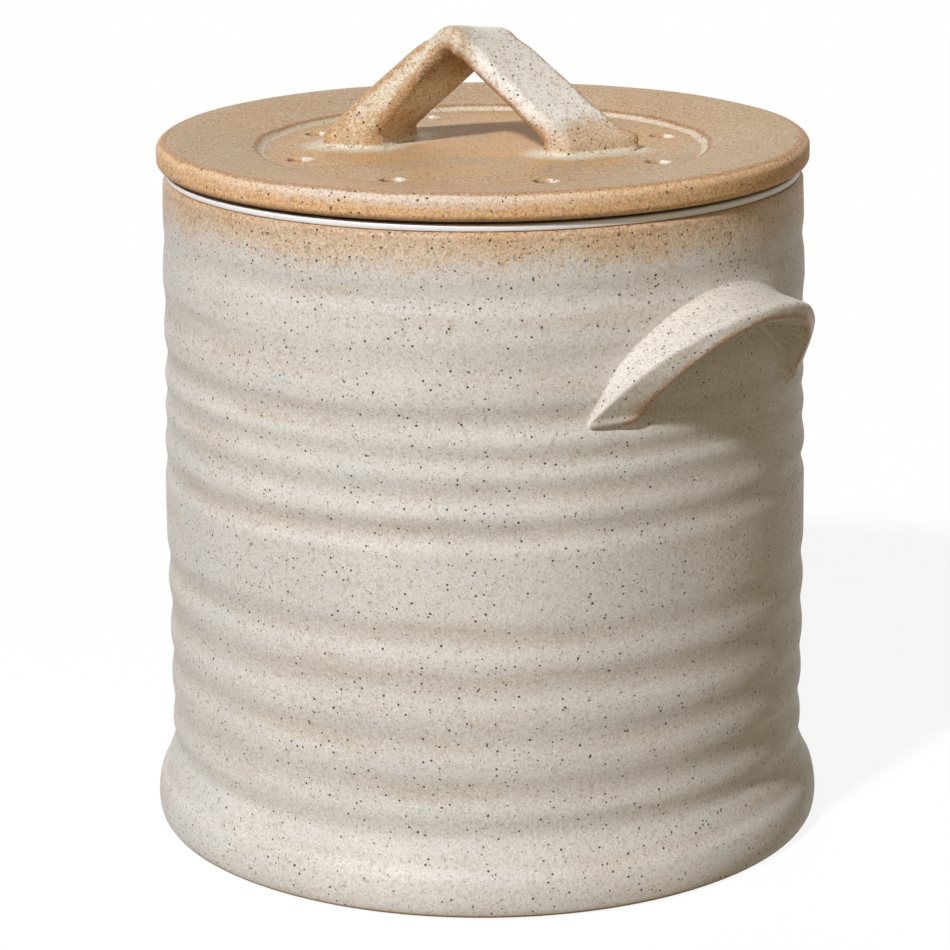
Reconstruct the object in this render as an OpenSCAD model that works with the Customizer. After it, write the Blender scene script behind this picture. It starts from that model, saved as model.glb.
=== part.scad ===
// Stoneware compost crock with a lift-off lid, a lift-out liner and a charcoal filter in the lid.
// Millimetres. The origin is the centre of the foot ring on the table, +Z is up,
// and the two side handles lie along +X and -X.

/* [Crock] */

// Diameter of the crock's wall where it is widest
crock_d = 191; // [160:1:230]
// Height of the crock's lip above the table
crock_h = 195.2; // [162.7:0.1:235]
// Thickness of the crock's wall at its widest
wall_t = 8; // [6:0.1:9.6]
// How far the crock narrows between its middle and its lip
barrel = 1.9; // [0:0.1:3]
// Height at which the crock starts to narrow
barrel_from = 88; // [60:1:120]
// How far the foot stands out from the wall
foot_flare = 4.9; // [2:0.1:8]
// Thickness of the crock's floor
floor_t = 6; // [5:0.5:7.5]
// Depth of the hollow inside the foot ring
foot_hollow = 3; // [1:0.5:5]
// Depth of the throwing rings in the wall
ring_depth = 0.6; // [0.2:0.1:1]

/* [Side handles] */

// How far a side handle reaches out from the wall
handle_reach = 15; // [12:0.5:19]
// Half the width of a side handle's arch
handle_half_w = 51; // [44:1:56]
// Radius of the finger arch at the wall
finger_r = 36.3; // [33:0.1:38]
// Slope of the side handles below the horizontal
handle_droop = 18; // [10:1:22]

/* [Lid] */

// Width of the dished rim around the recess
rim_w = 31.4; // [27:0.2:36]
// Height of the lid's rim from its underside to its top
lid_rim_t = 7.9; // [7:0.1:9]
// Depth of the dished top below the rim at the recess
lid_dish = 3; // [2:0.1:3.4]
// Depth of the step down to the recessed middle
lid_step = 2.5; // [1.5:0.1:2.8]
// Thickness of the lid's middle
lid_mid_t = 6; // [5:0.1:7.2]
// Number of vent holes
vent_count = 8; // [4:1:12]
// Diameter of a vent hole
vent_d = 5.6; // [4:0.1:6.5]

/* [Lid handle] */

// Width of the strap
strap_w = 26; // [20:1:30]
// Thickness of the strap
strap_t = 8; // [6:0.5:9]
// Length of the finger gap between the strap's feet
strap_span = 68; // [56:1:74]
// Height of the finger gap under the strap
strap_gap = 27.5; // [22:0.5:33]
// Radius of the inner bend at the top of the strap
strap_bend = 5; // [3:0.5:9]
// Turn of the strap against the line of the side handles
strap_turn = 9; // [-90:1:90]

/* [Liner and bail] */

// Wall thickness of the liner
liner_t = 1.6; // [1.2:0.1:2.2]
// Thickness of the liner's rim flange
flange_t = 1.1; // [0.9:0.1:1.5]
// Draft of the liner's wall from shoulder to floor
liner_draft = 3.5; // [1:0.5:6]
// Radial width of the bail strap
bail_w = 4.5; // [3.5:0.1:5.4]
// Radius of a pivot stud
stud_r = 2.5; // [2:0.1:3]

/* [Seal and filter] */

// Thickness of the seal's flat ring
seal_t = 0.8; // [0.6:0.1:1.2]
// Thickness of the charcoal pad
pad_t = 7; // [5:0.5:8.5]
// Number of spokes in the filter cover
spoke_count = 8; // [6:1:12]

/* [Hidden] */

$fn = 96;

// Colours of the parts
stoneware = [0.77, 0.72, 0.62];
white_plastic = [0.94, 0.95, 0.95];
black_rubber = [0.05, 0.05, 0.05];
grey_plastic = [0.22, 0.23, 0.24];
charcoal = [0.09, 0.09, 0.1];

// Gap left where one lifting piece rests on another
seat = 0.2;
// Running clearance of the bail on its studs
run = 0.06;
// Clearance of the filter cover's push fit
push = 0.08;
// Amount by which cutting shapes pass a surface
over = 1;

// Crock
crock_r = crock_d / 2;
inner_r = crock_r - wall_t;
barrel_curve = 1.5;
foot_bulge_r = 24;
foot_bulge_z = 5.4;
foot_w = 15;
foot_edge = 1.5;
lip_round = 2.8;
lip_inner_round = 1.8;
floor_z = foot_hollow + floor_t;
floor_round = 10;
foot_r = crock_r + foot_flare;
foot_top_a = acos((foot_bulge_r - foot_flare) / foot_bulge_r);
foot_low_a = -asin(foot_bulge_z / foot_bulge_r);
lip_r = crock_r - barrel;
// Heights of the throwing rings as shares of the crock's height
ring_at = [0.129, 0.19, 0.272, 0.345, 0.426, 0.574, 0.632, 0.688, 0.733, 0.819, 0.915];
ring_half_w = crock_h / 50;

// Side handles
handle_low_z = crock_h - 55.2;
handle_axis_z = crock_h - 74.8;
finger_axis_z = crock_h - 68.2;
finger_spread = 0.13;
handle_root = 24;
handle_run = 45;
handle_plan_r = 55.7;
handle_sink = 0.9;
handle_wall_x = crock_r - handle_sink;

// Liner's rim
flange_low = crock_h + seat;
flange_top = flange_low + flange_t;
flange_in = 1.1;
flange_r = lip_r - flange_in;
collar_gap = 2.9;
collar_in_r = inner_r - collar_gap - liner_t;

// Lid
lid_under = flange_top + seat + seal_t;
lid_inset = 0.2;
lid_r = crock_r - lid_inset;
lid_edge_r = lid_rim_t / 2;
lid_top = lid_under + lid_rim_t;
recess_r = lid_r - rim_w;
recess_slope = 2.7;
recess_z = lid_top - lid_dish - lid_step;
crown = 1.6;
crown_slope = 27.8;
crown_r = recess_r - crown_slope;
disc_top = recess_z + crown;
disc_under = recess_z - lid_mid_t;
boss_margin = 1.3;
disc_under_r = recess_r + recess_slope + boss_margin;
relief = 1.5;
relief_z = disc_under + relief;
seal_sleeve_t = 1.8;
seal_fit = 0.4;
spigot_r = collar_in_r - seal_fit - seal_sleeve_t;
spigot_w = 6;
spigot_drop = 3;
spigot_low = disc_under - spigot_drop;
spigot_edge = 1;
vent_inset = 8;
vent_at_r = recess_r - vent_inset;
vent_first = 16.8;
vent_sink = 1.2;

// Lid handle
strap_foot = strap_span / 2;
strap_in_top = disc_top + strap_gap;
strap_slope = atan((strap_gap + 0.3 * strap_bend) / strap_foot);
bend_z = strap_in_top - strap_bend;
leg_len = 60;

// Seal
seal_in = 5.05;
seal_r = lid_r - seal_in;
seal_rise = 0.6;
seal_low = spigot_low + seal_rise;

// Bail and its studs, under the lid's spigot
bail_headroom = 1.2;
eye_r = stud_r + 2.4;
pivot_z = spigot_low - bail_headroom - eye_r;
bail_room = 3.5;
bail_out_r = collar_in_r - bail_room;
bail_in_r = bail_out_r - bail_w;
shoulder_drop = 0.6;
shoulder_z = pivot_z - eye_r - shoulder_drop;
bail_low = shoulder_z + seat;
bail_tall = 7;
grip_angle = 50;
grip_extra = 3.5;
stud_head_r = stud_r + 1.1;
stud_head_t = 1;
stud_gap = 0.3;
stud_boss_r = stud_r + 1.6;

// Liner's body, which steps in under the bail to carry it
shoulder_w = 4.5;
shoulder_in_r = collar_in_r - shoulder_w;
liner_foot_gap = 2.2;
liner_low = floor_z + liner_foot_gap;
liner_round = 8;
liner_floor_r = shoulder_in_r - liner_draft;

// Filter
vent_rim = 4.3;
holder_in_r = vent_at_r + vent_d / 2 + vent_rim;
holder_t = 2.5;
holder_flange = 2;
holder_flange_t = 1.5;
pad_air = 3.2;
holder_low = disc_under - pad_t - pad_air + seat;
cover_top = holder_low - seat;
cover_t = 1.6;
cover_rim_w = 5;
cover_rim_in_r = holder_in_r - cover_rim_w;
sleeve_t = 1.7;
sleeve_tall = 6;
spoke_w = 4;
hub_r = 8;
pad_fit = 0.2;
pad_r = holder_in_r - push - sleeve_t - pad_fit;

// Points on an arc in the radius and height plane
function arc_points(r_at, z_at, r, from, to, steps) =
  [for (i = [0:steps])
    let (a = from + (to - from) * i / steps)
    [r_at + r * cos(a), z_at + r * sin(a)]];

// Radius of the crock's wall at height z, before the throwing rings
function wall_r(z) =
  crock_r - barrel * pow(max(0, z - barrel_from) / (crock_h - barrel_from), barrel_curve);

// Outline of the outside of the crock from foot to lip
function crock_outside() = concat(
  arc_points(foot_r - foot_bulge_r, foot_bulge_z, foot_bulge_r, foot_low_a, foot_top_a, 8),
  [for (share = ring_at) for (side = [-1:1])
    let (z = share * crock_h + side * ring_half_w)
    [wall_r(z) - ring_depth * (1 - abs(side)), z]],
  arc_points(lip_r - lip_round, crock_h - lip_round, lip_round, 0, 90, 6)
);

// Outline of the inside of the crock from lip to floor
function crock_inside() = concat(
  arc_points(inner_r + lip_inner_round, crock_h - lip_inner_round, lip_inner_round, 90, 180, 5),
  arc_points(inner_r - floor_round, floor_z + floor_round, floor_round, 0, -90, 8),
  [[0, floor_z]]
);

// Outline of the foot ring from its hollow to its outer edge
function foot_outline() = [
  [0, foot_hollow],
  [foot_r - foot_w - foot_edge, foot_hollow],
  [foot_r - foot_w, 0]
];

// The crock's outside as a solid, used to fit the handles to the wall
module crock_blank() {
  rotate_extrude()
    polygon(concat([[0, 0]], crock_outside(), [[0, crock_h]]));
}

module crock_body() {
  color(stoneware)
    rotate_extrude()
      polygon(concat(foot_outline(), crock_outside(), crock_inside()));
}

// Arched ear that droops outwards, on the +X side
module side_ear() {
  difference() {
    intersection() {
      translate([handle_wall_x, 0, handle_axis_z])
        rotate([0, 90 + handle_droop, 0])
          translate([0, 0, -handle_root])
            cylinder(h = handle_run, r = handle_half_w);
      translate([handle_wall_x + handle_reach - handle_plan_r, 0, handle_low_z])
        cylinder(h = handle_half_w, r = handle_plan_r);
    }
    translate([handle_wall_x - handle_root, 0, finger_axis_z])
      rotate([0, 90, 0])
        cylinder(
          h = handle_run,
          r1 = finger_r - finger_spread * handle_root,
          r2 = finger_r + finger_spread * (handle_run - handle_root)
        );
    crock_blank();
  }
}

module side_handle_right() {
  color(stoneware) side_ear();
}

module side_handle_left() {
  color(stoneware) mirror([1, 0, 0]) side_ear();
}

// Outline of the liner's inside from floor to flange
function liner_inside() = concat(
  [[0, liner_low + liner_t]],
  arc_points(
    liner_floor_r - liner_round, liner_low + liner_t + liner_round, liner_round, -90, 0, 6
  ),
  [
    [shoulder_in_r, shoulder_z],
    [collar_in_r, shoulder_z],
    [collar_in_r, flange_top - flange_t / 2],
    [collar_in_r + flange_t / 2, flange_top]
  ]
);

// Outline of the liner's outside from flange to floor
function liner_outside() = concat(
  [
    [flange_r - flange_t / 4, flange_top],
    [flange_r, flange_top - flange_t / 4],
    [flange_r, flange_low],
    [collar_in_r + liner_t, flange_low],
    [collar_in_r + liner_t, shoulder_z - liner_t],
    [shoulder_in_r + liner_t, shoulder_z - liner_t]
  ],
  arc_points(
    liner_floor_r - liner_round, liner_low + liner_t + liner_round, liner_round + liner_t, 0, -90, 6
  ),
  [[0, liner_low]]
);

// Stud for the bail on the +X side, with a boss behind it and a head in front
module pivot_stud() {
  translate([0, 0, pivot_z])
    rotate([0, 90, 0]) {
      translate([0, 0, bail_in_r - stud_gap - stud_head_t])
        cylinder(h = stud_head_t, r = stud_head_r);
      translate([0, 0, bail_in_r - stud_gap - stud_head_t])
        cylinder(h = collar_in_r + liner_t / 2 - bail_in_r + stud_gap + stud_head_t, r = stud_r);
      translate([0, 0, bail_out_r + stud_gap])
        cylinder(h = collar_in_r + liner_t / 2 - bail_out_r - stud_gap, r = stud_boss_r);
    }
}

module liner_bucket() {
  color(white_plastic)
    union() {
      rotate_extrude()
        polygon(concat(liner_inside(), liner_outside()));
      pivot_stud();
      mirror([1, 0, 0]) pivot_stud();
    }
}

// The bail lies folded on the liner's shoulder, on the -Y side
module liner_bail() {
  color(white_plastic)
    difference() {
      union() {
        rotate([0, 0, 180])
          rotate_extrude(angle = 180)
            translate([bail_in_r, bail_low])
              square([bail_w, bail_tall]);
        rotate([0, 0, 270 - grip_angle / 2])
          rotate_extrude(angle = grip_angle)
            translate([bail_in_r - grip_extra, bail_low])
              square([bail_w + grip_extra, bail_tall]);
        for (side = [0, 180])
          rotate([0, 0, side])
            translate([bail_in_r, 0, pivot_z])
              rotate([0, 90, 0])
                cylinder(h = bail_w, r = eye_r);
      }
      translate([-bail_out_r - over, 0, pivot_z])
        rotate([0, 90, 0])
          cylinder(h = 2 * (bail_out_r + over), r = stud_r + run);
    }
}

// Outline of the lid in the radius and height plane
function lid_outline() = concat(
  [
    [0, disc_under],
    [disc_under_r, disc_under],
    [disc_under_r + relief, relief_z],
    [spigot_r - spigot_w - relief, relief_z],
    [spigot_r - spigot_w, spigot_low],
    [spigot_r - spigot_edge, spigot_low],
    [spigot_r, spigot_low + spigot_edge],
    [spigot_r, lid_under]
  ],
  arc_points(lid_r - lid_edge_r, lid_under + lid_edge_r, lid_edge_r, -90, 90, 14),
  [
    [recess_r + recess_slope, lid_top - lid_dish],
    [recess_r, recess_z],
    [crown_r, disc_top],
    [0, disc_top]
  ]
);

module lid_blank() {
  rotate_extrude()
    polygon(lid_outline());
}

module lid_disc() {
  color(stoneware)
    difference() {
      lid_blank();
      for (i = [0:vent_count - 1])
        rotate([0, 0, vent_first + i * 360 / vent_count])
          translate([vent_at_r, 0, disc_under - over]) {
            cylinder(h = lid_mid_t + crown + 2 * over, d = vent_d);
            translate([0, 0, lid_mid_t + over - vent_sink / 2])
              cylinder(h = vent_sink + over, d1 = vent_d, d2 = vent_d + 2 * (vent_sink + over));
          }
    }
}

// Outline of the strap from the side, round the centre of its bend
function strap_outline() =
  let (
    along = [cos(strap_slope), -sin(strap_slope)],
    outer = arc_points(0, 0, strap_bend + strap_t, 90 - strap_slope, 90 + strap_slope, 12),
    inner = arc_points(0, 0, strap_bend, 90 + strap_slope, 90 - strap_slope, 8)
  )
  concat(
    outer,
    [
      outer[12] + leg_len * [-along[0], along[1]],
      inner[0] + leg_len * [-along[0], along[1]]
    ],
    inner,
    [inner[8] + leg_len * along, outer[0] + leg_len * along]
  );

module lid_handle() {
  color(stoneware)
    difference() {
      rotate([0, 0, strap_turn])
        translate([0, 0, bend_z])
          rotate([90, 0, 0])
            linear_extrude(height = strap_w, center = true)
              polygon(strap_outline());
      lid_blank();
      translate([0, 0, disc_under + over - leg_len])
        cylinder(h = leg_len, r = recess_r);
    }
}

module lid_seal() {
  color(black_rubber)
    rotate_extrude()
      polygon([
        [spigot_r, seal_low],
        [spigot_r + seal_sleeve_t, seal_low + spigot_edge],
        [spigot_r + seal_sleeve_t, lid_under - seal_t],
        [seal_r, lid_under - seal_t],
        [seal_r, lid_under],
        [spigot_r, lid_under]
      ]);
}

module filter_holder() {
  color(grey_plastic)
    rotate_extrude()
      polygon([
        [holder_in_r, holder_low],
        [holder_in_r + holder_t, holder_low],
        [holder_in_r + holder_t, disc_under - holder_flange_t],
        [holder_in_r + holder_t + holder_flange, disc_under - holder_flange_t],
        [holder_in_r + holder_t + holder_flange, disc_under],
        [holder_in_r, disc_under]
      ]);
}

// Flat ring of the grille between two radii
module cover_ring(from_r, to_r) {
  translate([0, 0, cover_top - cover_t])
    rotate_extrude()
      translate([from_r, 0])
        square([to_r - from_r, cover_t]);
}

module filter_cover() {
  color(grey_plastic)
    union() {
      translate([0, 0, cover_top - cover_t])
        cylinder(h = cover_t, r = hub_r);
      for (i = [1, 2])
        cover_ring(cover_rim_in_r * i / 3, cover_rim_in_r * i / 3 + spoke_w);
      cover_ring(cover_rim_in_r, holder_in_r + holder_t);
      translate([0, 0, cover_top - cover_t])
        rotate_extrude()
          translate([holder_in_r - push - sleeve_t, 0])
            square([sleeve_t, cover_t + sleeve_tall]);
      for (i = [0:spoke_count - 1])
        rotate([0, 0, i * 360 / spoke_count])
          translate([hub_r / 2, -spoke_w / 2, cover_top - cover_t])
            cube([cover_rim_in_r + cover_rim_w / 2 - hub_r / 2, spoke_w, cover_t]);
    }
}

module charcoal_pad() {
  color(charcoal)
    translate([0, 0, cover_top])
      cylinder(h = pad_t, r = pad_r);
}

crock_body();
side_handle_right();
side_handle_left();
liner_bucket();
liner_bail();
lid_disc();
lid_handle();
lid_seal();
filter_holder();
filter_cover();
charcoal_pad();
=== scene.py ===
"""Stoneware compost crock with a lift-off lid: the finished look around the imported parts.

Lengths are in millimetres until a mesh is made, and in metres from then on.
"""

from math import atan2, cos, hypot, pi, radians, sin, tan

import bmesh
import bpy
import numpy as np
from mathutils import Matrix, Vector, noise


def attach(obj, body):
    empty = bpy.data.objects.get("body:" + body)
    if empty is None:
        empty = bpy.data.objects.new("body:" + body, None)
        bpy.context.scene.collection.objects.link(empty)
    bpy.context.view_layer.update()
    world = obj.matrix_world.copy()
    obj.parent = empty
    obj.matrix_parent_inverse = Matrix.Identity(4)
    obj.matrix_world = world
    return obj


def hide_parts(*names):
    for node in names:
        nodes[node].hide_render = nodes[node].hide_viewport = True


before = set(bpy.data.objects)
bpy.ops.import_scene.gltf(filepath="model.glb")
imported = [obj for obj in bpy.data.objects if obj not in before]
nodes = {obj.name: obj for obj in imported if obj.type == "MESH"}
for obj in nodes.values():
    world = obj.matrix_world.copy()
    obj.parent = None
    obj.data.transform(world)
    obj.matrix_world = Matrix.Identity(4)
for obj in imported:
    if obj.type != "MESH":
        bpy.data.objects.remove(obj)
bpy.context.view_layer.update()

MM = 0.001
# Fixes the wobble of the hand-made pieces, which otherwise changes from run to run
noise.seed_set(11)


# ---------------------------------------------------------------- camera

CAMERA_AT = (0.6789, -0.7123, 0.3777)
CAMERA_TURN = radians(43.8)
CAMERA_PITCH = radians(15.68)
CAMERA_ROLL = radians(-0.457)
LENS = 128.88


def set_camera():
    """Places the camera where the photograph was taken from."""
    bpy.ops.object.camera_add()
    camera = bpy.context.active_object
    camera.name = "camera"
    camera.data.lens = LENS
    camera.data.sensor_width = 36.0
    camera.data.clip_start = 0.05
    camera.data.clip_end = 20.0
    turn = Matrix.Rotation(CAMERA_TURN, 3, "Z")
    across = turn @ Vector((1, 0, 0))
    ahead = turn @ Vector((0, cos(CAMERA_PITCH), -sin(CAMERA_PITCH)))
    over = turn @ Vector((0, sin(CAMERA_PITCH), cos(CAMERA_PITCH)))
    right = across * cos(CAMERA_ROLL) + over * sin(CAMERA_ROLL)
    up = over * cos(CAMERA_ROLL) - across * sin(CAMERA_ROLL)
    facing = Matrix((right, up, -ahead)).transposed().to_4x4()
    camera.matrix_world = Matrix.Translation(CAMERA_AT) @ facing
    bpy.context.scene.camera = camera


# ---------------------------------------------------------------- modelling helpers

# An edge with a sharper bend than this stays hard
SHARP_ANGLE = radians(40)


def deselect():
    """Leaves nothing selected, because operators act on all that is."""
    if bpy.context.mode != "OBJECT":
        bpy.ops.object.mode_set(mode="OBJECT")
    bpy.ops.object.select_all(action="DESELECT")


def begin(name, maker, **sizes):
    """Adds a primitive, names it and opens it in edit mode."""
    deselect()
    maker(**sizes)
    piece = bpy.context.active_object
    piece.name = name
    piece.data.name = name
    bpy.ops.object.mode_set(mode="EDIT")
    return piece


def close_up():
    """Merges what lies together in the open piece, turns its faces outwards and smooths it."""
    bpy.ops.object.mode_set(mode="EDIT")
    bpy.ops.mesh.select_all(action="SELECT")
    bpy.ops.mesh.remove_doubles(threshold=0.004 * MM)
    bpy.ops.mesh.normals_make_consistent(inside=False)
    bpy.ops.object.mode_set(mode="OBJECT")
    bpy.ops.object.shade_smooth_by_angle(angle=SHARP_ANGLE)


def turned(name, outline, sides):
    """Draws an outline of (radius, height) points and spins it once round the upright axis."""
    piece = begin(name, bpy.ops.mesh.primitive_plane_add, size=MM)
    bpy.ops.mesh.merge(type="CENTER")
    mesh = bmesh.from_edit_mesh(piece.data)
    mesh.verts.ensure_lookup_table()
    mesh.verts[0].co = (outline[0][0] * MM, 0, outline[0][1] * MM)
    mesh.verts[0].select_set(True)
    bmesh.update_edit_mesh(piece.data)
    for (r0, z0), (r1, z1) in zip(outline, outline[1:]):
        step = ((r1 - r0) * MM, 0, (z1 - z0) * MM)
        bpy.ops.mesh.extrude_region_move(TRANSFORM_OT_translate={"value": step})
    bpy.ops.mesh.select_all(action="SELECT")
    bpy.ops.mesh.spin(steps=sides, angle=2 * pi, center=(0, 0, 0), axis=(0, 0, 1))
    close_up()
    return piece


def drawn(name, rings, marks):
    """Draws a ring of points out from place to place with its marks, then closes both ends."""
    count = len(rings[0])
    piece = begin(name, bpy.ops.mesh.primitive_circle_add, vertices=count, radius=MM)
    mesh = bmesh.from_edit_mesh(piece.data)
    mesh.verts.layers.int.new("order")
    for mark_name in marks:
        mesh.verts.layers.float.new(mark_name)
    order = mesh.verts.layers.int["order"]
    for i, v in enumerate(mesh.verts):
        v[order] = i
    place_ring(piece, rings[0], {k: v[0] for k, v in marks.items()})
    for i, ring in enumerate(rings[1:], 1):
        bpy.ops.mesh.extrude_region_move()
        place_ring(piece, ring, {k: v[i] for k, v in marks.items()})
    bpy.ops.mesh.edge_face_add()
    mesh = bmesh.from_edit_mesh(piece.data)
    for edge in mesh.edges:
        edge.select_set(edge.is_boundary)
    bmesh.update_edit_mesh(piece.data)
    bpy.ops.mesh.edge_face_add()
    close_up()
    return piece


def place_ring(piece, ring, marks):
    """Puts the selected ring of points at its place."""
    mesh = bmesh.from_edit_mesh(piece.data)
    order = mesh.verts.layers.int["order"]
    layers = {k: mesh.verts.layers.float[k] for k in marks}
    for v in mesh.verts:
        if v.select:
            v.co = Vector(ring[v[order]]) * MM
            for k, layer in layers.items():
                v[layer] = float(marks[k][v[order]])
    bmesh.update_edit_mesh(piece.data)


def finish_with(piece, kind, **settings):
    """Adds a modifier and applies it."""
    deselect()
    bpy.context.view_layer.objects.active = piece
    piece.select_set(True)
    modifier = piece.modifiers.new(kind.lower(), kind)
    for key, value in settings.items():
        setattr(modifier, key, value)
    bpy.ops.object.modifier_apply(modifier=modifier.name)


def cut_or_join(piece, other, operation):
    """Cuts another piece out of this one or joins it on, and takes the other away."""
    finish_with(piece, "BOOLEAN", operation=operation, solver="EXACT", object=other)
    bpy.data.objects.remove(other)


def clothe(piece, material):
    """Leaves one material on the piece."""
    piece.data.materials.clear()
    piece.data.materials.append(material)


def points_of(piece):
    """The piece's points in millimetres."""
    flat = np.zeros(len(piece.data.vertices) * 3)
    piece.data.vertices.foreach_get("co", flat)
    return flat.reshape(-1, 3) / MM


def move_points(piece, points):
    """Puts the piece's points at new places, given in millimetres."""
    piece.data.vertices.foreach_set("co", (np.asarray(points) * MM).ravel())
    piece.data.update()


def mark(piece, name, values):
    """Stores one number a point, for the material to read."""
    layer = piece.data.attributes.new(name, "FLOAT", "POINT")
    layer.data.foreach_set("value", np.asarray(values, np.float32))


def smooth_line(points, step):
    """A smooth curve through the points, sampled about every step."""
    pts = [np.array(p, float) for p in points]
    pts = [2 * pts[0] - pts[1]] + pts + [2 * pts[-1] - pts[-2]]
    out = []
    for a, b, c, d in zip(pts, pts[1:], pts[2:], pts[3:]):
        count = max(1, int(round(np.linalg.norm(c - b) / step)))
        for i in range(count):
            t = i / count
            out.append(0.5 * (2 * b + (c - a) * t + (2 * a - 5 * b + 4 * c - d) * t * t
                              + (3 * b - a - 3 * c + d) * t ** 3))
    out.append(pts[-2])
    return [tuple(p) for p in out]


def arc(r_at, z_at, radius, start, end, steps):
    """Points on an arc in the radius and height plane, angles in degrees."""
    turns = [radians(start + (end - start) * i / steps) for i in range(steps + 1)]
    return [(r_at + radius * cos(a), z_at + radius * sin(a)) for a in turns]


def hump(x):
    """A smooth hump, 1 at 0 and 0 from 1 on."""
    return np.clip(1 - np.asarray(x, float) ** 2, 0, 1) ** 2


def ease(x):
    """A smooth step from 0 to 1."""
    x = np.clip(x, 0, 1)
    return x * x * (3 - 2 * x)


# ---------------------------------------------------------------- crock

# Height and radius of the wall without its throwing rings
WALL = [(2.5, 100.25), (5.4, 100.43), (9, 100.0), (12.6, 99.04), (16.2, 97.53), (18.6, 96.2),
        (21.5, 95.55), (26, 95.5), (40, 95.5), (60, 95.6), (80, 95.55), (95, 95.5), (115, 95.25),
        (130, 94.75), (150, 94.5), (165, 94.5), (175, 94.1), (185, 93.9), (192.4, 93.6)]
# Height, depth and half height of each throwing ring
RINGS = [(176.8, 0.5, 5.5), (157.8, 0.55, 7), (142.2, 0.75, 6.0), (131.5, 0.55, 4.6), (121.4, 0.6, 5.4),
         (110.1, 0.9, 5.4), (80.2, 0.6, 6.4), (65.4, 0.7, 7.2), (50.3, 0.65, 6.2), (35.8, 0.7, 6.4),
         (23.6, 0.6, 4.6), (14.9, 0.65, 4.0)]
FLOOR_TOP = 9.0
FLOOR_ROUND = 10
INNER_R = 87.5
# How far a throwing ring wanders up and down, and how much its depth changes on the way round
RING_WANDER = 1.1
RING_CHANGE = 0.7
WALL_SWAY = 0.16

wall_line = np.array(smooth_line(WALL, 1.1))


def smooth_radius(z):
    """Radius of the wall without its throwing rings at a height."""
    return float(np.interp(z, wall_line[:, 0], wall_line[:, 1]))


def ring_hollow(z, turn):
    """How deep the throwing rings are at a height, and how they wander on the way round."""
    depth = 0.0
    for i, (at, deep, half) in enumerate(RINGS):
        if abs(z - at) > half + 1.5:
            continue
        place = Vector((1.1 * cos(turn), 1.1 * sin(turn), 3.7 * i))
        shift = RING_WANDER * noise.noise(place)
        strength = 1 + RING_CHANGE * noise.noise(place + Vector((5.2, 1.3, 9.1)))
        depth += deep * strength * float(hump((z - at - shift) / half))
    return depth


def wall_radius(z, turn):
    """Radius of the finished wall at a height and an angle."""
    sway = WALL_SWAY * noise.noise(Vector((1.4 * cos(turn), 1.4 * sin(turn), z / 38)))
    return smooth_radius(z) + sway - ring_hollow(z, turn)


def make_crock():
    """Turns the crock in one piece and presses the throwing rings into its wall."""
    foot = [(0, 3), (60, 3), (82.6, 3), (83.9, 2.6), (84.9, 1.2), (85.8, 0.25), (87, 0), (97.9, 0),
            (98.8, 0.12), (99.45, 0.5), (99.9, 1.2)]
    wall = [(r, z) for z, r in wall_line]
    lip = arc(91.7, 192.75, 1.9, 0, 90, 6) + arc(89.3, 192.85, 1.8, 90, 180, 6)
    inside = [(INNER_R, z) for z in np.linspace(188, 22, 24)]
    floor = arc(INNER_R - FLOOR_ROUND, FLOOR_TOP + FLOOR_ROUND, FLOOR_ROUND, 0, -90, 9)
    floor += [(r, FLOOR_TOP) for r in (50, 20, 0)]
    piece = turned("crock", foot + wall + lip + inside + floor, 208)
    pts = points_of(piece)
    radius = np.hypot(pts[:, 0], pts[:, 1])
    hollow = np.zeros(len(pts))
    outer_wall = (radius > 92) & (pts[:, 2] > 1.5) & (pts[:, 2] < 192.5)
    for i in np.nonzero(outer_wall)[0]:
        x, y, z = pts[i]
        turn = atan2(y, x)
        hollow[i] = ring_hollow(z, turn)
        pts[i, :2] *= (radius[i] + wall_radius(z, turn) - smooth_radius(z)) / radius[i]
    move_points(piece, pts)
    # Ring depth kept for the tan and painted shade in the hollows
    mark(piece, "hollow", hollow)
    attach(piece, "crock")
    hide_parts("crock_body")
    clothe(piece, crock_glaze())


# ---------------------------------------------------------------- liner

PIVOT_Z = 184.8


def make_liner():
    """Turns the liner bucket with its flange and joins on the two studs that carry the bail."""
    outside = [(0, 11.2), (40, 11.2)] + arc(67, 20.8, 9.6, -90, 0, 9) + [
        (80.1, 177.2), (80.3, 177.7), (84.1, 177.8), (84.5, 178.2), (84.6, 180), (84.6, 194.7),
        (84.9, 195.3), (85.4, 195.42), (89.8, 195.3), (90.6, 195.0), (91.2, 194.8), (92.2, 194.78),
        (92.5, 194.9)]
    rim = [(92.65, 195.1), (92.65, 196.1), (92.5, 196.4), (92.2, 196.58), (91.5, 196.6), (90.9, 196.56),
           (90.4, 196.5), (84.3, 196.5), (83.5, 196.3), (83.05, 195.9), (83, 195.3)]
    inside = [(83, 180), (82.8, 179.5), (82.4, 179.3), (79.2, 179.3), (78.7, 179.1), (78.5, 178.6),
              (76.8, 100)]
    floor = arc(67, 20.8, 8, 0, -90, 9) + [(40, 12.8), (0, 12.8)]
    piece = turned("liner", outside + rim + inside + floor, 176)
    stud = [(0, 73.7), (3.1, 73.7), (3.5, 73.85), (3.6, 74.2), (3.5, 74.6), (3.1, 74.7), (2.5, 74.8),
            (2.5, 79.7), (4.0, 79.8), (4.1, 80.1), (4.1, 83.8), (0, 83.8)]
    for side in (0, 180):
        pin = turned("liner_stud", stud, 32)
        lying = Matrix.Rotation(radians(side), 4, "Z") @ Matrix.Rotation(radians(90), 4, "Y")
        pin.data.transform(Matrix.Translation((0, 0, PIVOT_Z * MM)) @ lying)
        cut_or_join(piece, pin, "UNION")
    bpy.ops.object.shade_smooth_by_angle(angle=SHARP_ANGLE)
    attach(piece, "liner")
    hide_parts("liner_bucket")
    clothe(piece, moulded_plastic("liner_plastic", (0.95, 0.965, 0.985), 0.30, 0.00002))


# ---------------------------------------------------------------- side handles

EAR_WALL = 94.6
EAR_REACH = 15
EAR_RINGS = 91
EAR_SWAY = 0.28
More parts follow.
